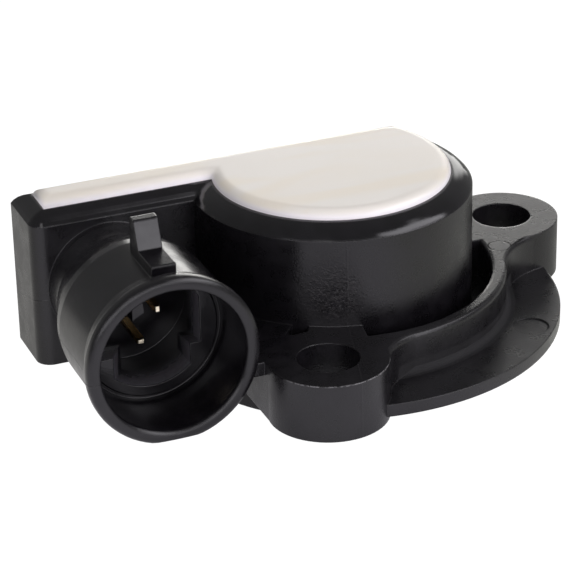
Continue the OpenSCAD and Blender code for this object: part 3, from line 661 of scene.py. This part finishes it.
class SENSOR_OT_socket(bpy.types.Operator):
    """Finish the keying ring, the terminal carrier and the blades in the socket"""
    bl_idname = "sensor.socket"
    bl_label = "Socket"

    def execute(self, context):
        mouth_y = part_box("keying_ring")[0][1]
        # Painted light inside the socket, from its mouth 4.2 mm inward
        mouth_light = (SOCKET_LIGHT, mouth_y + 0.0001, mouth_y + 0.0042)
        ring = plastic_material("ring_plastic", (0.0038, 0.0034, 0.0044), 0.2, 0.0002, inside=mouth_light)
        finish("keying_ring", ring)
        carrier = plastic_material("carrier_plastic", (0.016, 0.018, 0.02), 0.4, 0.0003)
        finish("terminal_carrier", carrier)
        blade = metal_material(
            "blade_brass", context.scene.sensor_metal.brass, 0.22, (1.0, 0.08, 1.0), tip=TIP_BRASS)
        for name in ("terminal_signal", "terminal_supply", "terminal_ground"):
            finish(name, blade)
        return {"FINISHED"}


class SENSOR_OT_element(bpy.types.Operator):
    """Finish the element plate, its tracks, pads and bond"""
    bl_idname = "sensor.element"
    bl_label = "Element"

    def execute(self, context):
        finish("element_plate", plastic_material("ceramic", (0.72, 0.72, 0.68), 0.55, 0.00012))
        finish("element_bond", plastic_material("bond", (0.42, 0.36, 0.28), 0.5, 0.0004))
        finish("resistor_track", plastic_material("carbon_film", (0.02, 0.02, 0.02), 0.42, 0.00008))
        silver = metal_material("silver_film", (0.72, 0.72, 0.7), 0.35, rate=6000.0)
        finish("collector_track", silver)
        finish("contact_pads", silver)
        return {"FINISHED"}


class SENSOR_OT_rotor(bpy.types.Operator):
    """Finish the rotor with its brush, clip, spring, bush and washers"""
    bl_idname = "sensor.rotor"
    bl_label = "Rotor"

    def execute(self, context):
        looks = context.scene.sensor_metal
        finish("rotor", plastic_material("rotor_plastic", (0.66, 0.62, 0.52), 0.4, 0.00025))
        alloy = metal_material("contact_alloy", (0.76, 0.62, 0.36), 0.2, (1.0, 0.1, 1.0))
        finish("wiper_brush", alloy)
        steel = metal_material("spring_steel", looks.steel, 0.28)
        for name in ("drive_clip", "return_spring", "wave_washer"):
            finish(name, steel)
        finish("pivot_bush", metal_material("bronze", (0.42, 0.27, 0.11), 0.45))
        finish("thrust_washer", plastic_material("washer_plastic", (0.6, 0.6, 0.56), 0.4, 0.0003))
        return {"FINISHED"}


class SENSOR_OT_cover(bpy.types.Operator):
    """Finish the base cover and the seal in its bore"""
    bl_idname = "sensor.cover"
    bl_label = "Base cover"

    def execute(self, context):
        finish("base_cover", plastic_material("cover_plastic", (0.016, 0.016, 0.017), 0.5, 0.00028))
        finish("hub_seal", plastic_material("seal_rubber", (0.012, 0.012, 0.012), 0.6, 0.00035))
        return {"FINISHED"}


class SENSOR_OT_studio(bpy.types.Operator):
    """Set the floor, the boxes of light and the camera"""
    bl_idname = "sensor.studio"
    bl_label = "Studio"

    def execute(self, context):
        settings = context.scene.sensor_studio
        make_floor(settings)
        make_room(settings)
        make_key(settings)
        make_camera()
        context.scene.view_settings.view_transform = "Standard"
        return {"FINISHED"}


def floor_material(settings):
    """Pale glowing paper, on which no shadow shows; it glows less behind, far off and close by."""
    material, tree, shader, place = new_material("floor_paper")
    paper = tree.blend(tree.noise(place, 9.0, 2.0), (0.12, 0.12, 0.12, 1), (0.13, 0.13, 0.13, 1))
    tree.join(paper, shader.inputs["Base Color"])
    x, y = tree.split(place)[:2]
    depth = tree.ramp(y, -0.03, 0.02)
    tint = tree.blend(depth, FLOOR_FRONT, FLOOR_BACK)
    tint = tree.blend(tree.ramp(x, 0.008, 0.03), tint, FLOOR_RIGHT)
    away = tree.vector("LENGTH", place)["Value"]
    close = tree.vector("DISTANCE", place, NEAR_CENTRE)["Value"]
    glow = tree.times(
        tree.ramp(away, 0.06, 0.17, 1.0, settings.floor_far),
        tree.ramp(depth, 0.0, 1.0, 1.0, settings.floor_behind),
        tree.ramp(x, 0.012, 0.04, 1.0, 0.7),
        tree.ramp(close, 0.022, 0.028, settings.floor_near, 1.0))
    tint = tree.blend(glow, (0, 0, 0, 1), tint)
    seen = tree.node("ShaderNodeLightPath").outputs["Is Camera Ray"]
    tree.join(tree.blend(seen, tint, FLOOR_SEEN), shader.inputs["Emission Color"])
    shader.inputs["Emission Strength"].default_value = settings.floor
    # Seen from below the floor is clear, so that the underside can be looked at
    below = tree.node("ShaderNodeNewGeometry").outputs["Backfacing"]
    tree.join(tree.minus(1.0, below), shader.inputs["Alpha"])
    shader.inputs["Roughness"].default_value = 0.9
    shader.inputs["Specular IOR Level"].default_value = 0.1
    return material


def make_floor(settings):
    """Wide flat floor just under the pilot boss."""
    shape = bmesh.new()
    bmesh.ops.create_grid(shape, x_segments=8, y_segments=8, size=3.0)
    bmesh.ops.translate(shape, verts=shape.verts, vec=(0, 0, cad_low.z - FLOOR_GAP))
    floor = add_piece("floor", shape)
    floor.data.materials.append(floor_material(settings))


def make_room(settings):
    """Dim room with a box of light in front, one high at the right and two low behind the sensor."""
    world = bpy.data.worlds.new("room")
    bpy.context.scene.world = world
    world.use_nodes = True
    tree = Tree(world.node_tree)
    tree.nodes.clear()
    way = tree.node("ShaderNodeTexCoord").outputs["Generated"]
    # Strength, tint, then the first and last turn, the lowest and highest angle and the blur, in degrees
    boxes = (
        (settings.front_high, COOL, (27.5, 87.0, 26.0, 55.0, 3.0)),
        (settings.front, COOL, (-62.0, 44.0, 6.0, 26.0, 4.0)),
        (settings.low_side, (1.0, 0.99, 0.97), (136.0, 166.0, -2.0, 21.0, 3.0)),
        (settings.low_side * LOW_CORNER_GAIN, (1.0, 0.985, 0.95), (149.0, 166.0, -2.0, 13.0, 2.0)))
    light = (settings.sky, settings.sky, settings.sky, 1)
    for strength, tint, (start, end, low, high, blur) in boxes:
        mask = tree.group(
            "light_box", Way=way, From=start, To=end, Low=low, High=high, Blur=blur)["Mask"]
        light = tree.blend(mask, light, tuple(strength * c for c in tint) + (1,))
    seen = tree.node("ShaderNodeLightPath").outputs["Is Camera Ray"]
    back = tree.node("ShaderNodeBackground")
    tree.join(tree.blend(seen, light, (1, 1, 1, 1)), back.inputs["Color"])
    tree.join(back.outputs[0], tree.node("ShaderNodeOutputWorld").inputs["Surface"])


def make_key(settings):
    """One soft key in front, above the camera, aimed at the origin."""
    lamp = bpy.data.lights.new("key", "AREA")
    lamp.shape = "DISK"
    lamp.size = 0.2
    lamp.energy = settings.key
    lamp.color = (1.0, 0.98, 1.0)
    key = add_object("key", lamp)
    key.location = (-0.25, -0.45, 0.4)
    key.rotation_mode = "QUATERNION"
    key.rotation_quaternion = key.location.to_track_quat("Z", "Y")


def make_camera():
    """Camera at the photograph's place, for a square picture."""
    data = bpy.data.cameras.new("camera")
    data.sensor_width = SENSOR_WIDTH
    data.sensor_fit = "HORIZONTAL"
    data.lens = FOCAL_PIXELS / PHOTO_PIXELS * SENSOR_WIDTH
    data.clip_start = 0.01
    data.clip_end = 20.0
    camera = add_object("camera", data)
    ahead = Vector(CAMERA_AHEAD).normalized()
    right = ahead.cross(Vector((0, 0, 1))).normalized()
    up = right.cross(ahead)
    roll = math.radians(CAMERA_ROLL)
    turned_right = right * math.cos(roll) + up * math.sin(roll)
    turned_up = up * math.cos(roll) - right * math.sin(roll)
    axes = Matrix((turned_right, turned_up, -ahead)).transposed()
    camera.matrix_world = Matrix.Translation(Vector(CAMERA_PLACE) * MM) @ axes.to_4x4()
    bpy.context.scene.camera = camera


class SENSOR_PT_panel(bpy.types.Panel):
    """Lists the sensor's pieces and its studio"""
    bl_idname = "SENSOR_PT_panel"
    bl_label = "Sensor"
    bl_space_type = "VIEW_3D"
    bl_region_type = "UI"
    bl_category = "Sensor"

    def draw(self, context):
        layout = self.layout
        for group in GROUPS:
            box = layout.box()
            values = getattr(context.scene, group)
            for name in values.bl_rna.properties.keys():
                if name not in ("rna_type", "name"):
                    box.prop(values, name)
        for operator in OPERATORS:
            layout.operator(operator.bl_idname)


GROUPS = {
    "sensor_moulded": MouldedLooks,
    "sensor_potting": PottingLooks,
    "sensor_metal": MetalLooks,
    "sensor_studio": StudioSettings,
}
OPERATORS = (SENSOR_OT_housing, SENSOR_OT_potting, SENSOR_OT_socket, SENSOR_OT_element,
             SENSOR_OT_rotor, SENSOR_OT_cover, SENSOR_OT_studio)


def register():
    for group in GROUPS.values():
        bpy.utils.register_class(group)
    for name, group in GROUPS.items():
        setattr(bpy.types.Scene, name, bpy.props.PointerProperty(type=group))
    for operator in OPERATORS:
        bpy.utils.register_class(operator)
    bpy.utils.register_class(SENSOR_PT_panel)


def unregister():
    bpy.utils.unregister_class(SENSOR_PT_panel)
    for operator in reversed(OPERATORS):
        bpy.utils.unregister_class(operator)
    for name in GROUPS:
        delattr(bpy.types.Scene, name)
    for group in reversed(list(GROUPS.values())):
        bpy.utils.unregister_class(group)


def main():
    register()
    moulded_grain_group()
    rubbed_patch_group()
    dust_group()
    parting_line_group()
    ejector_mark_group()
    light_box_group()
    bpy.ops.sensor.housing()
    bpy.ops.sensor.potting()
    bpy.ops.sensor.socket()
    bpy.ops.sensor.element()
    bpy.ops.sensor.rotor()
    bpy.ops.sensor.cover()
    bpy.ops.sensor.studio()


if __name__ == "__main__":
    main()
